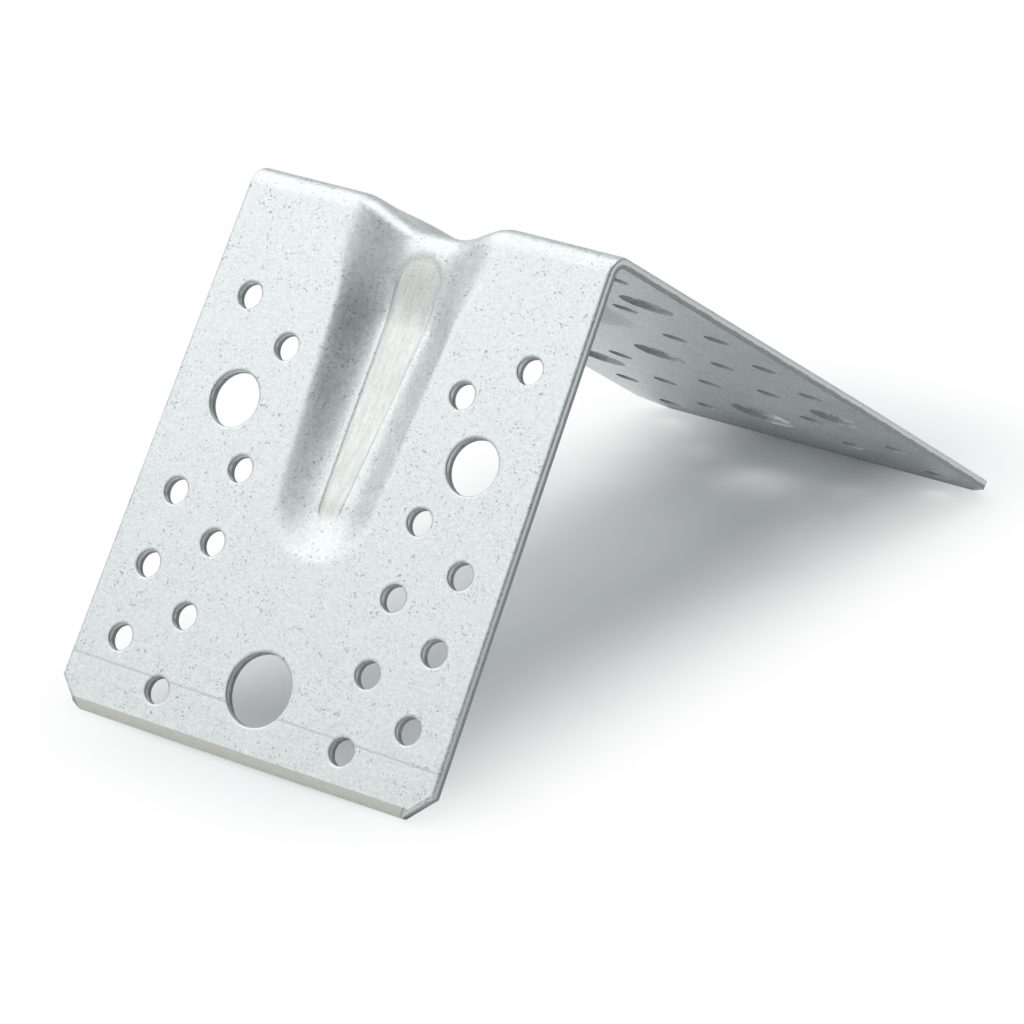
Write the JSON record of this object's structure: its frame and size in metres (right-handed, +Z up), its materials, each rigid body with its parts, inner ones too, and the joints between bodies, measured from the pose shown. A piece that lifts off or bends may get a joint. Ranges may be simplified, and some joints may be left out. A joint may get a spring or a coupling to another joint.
{
  "type": "reinforced perforated angle bracket",
  "caption": "Right-angle bracket of galvanised sheet steel with unequal legs, a pressed stiffening rib across the bend, and nail and bolt holes, for joining timber or fixing it to concrete.",
  "frame": {"origin": "on the ground, centred under the bounding box of the bracket as it stands like a tent on the inner edges of its two ends", "axes": "+Z up, +X along the bend, +Y from the short front leg towards the long rear leg"},
  "size_m": [0.084, 0.1866, 0.0861],
  "materials": {
    "galvanised_sheet": "matt silvery zinc coating with fine darker speckle; cut edges and hole walls darker"
  },
  "bodies": {
    "root": {"angle_bracket": "galvanised_sheet"}
  },
  "joints": []
}
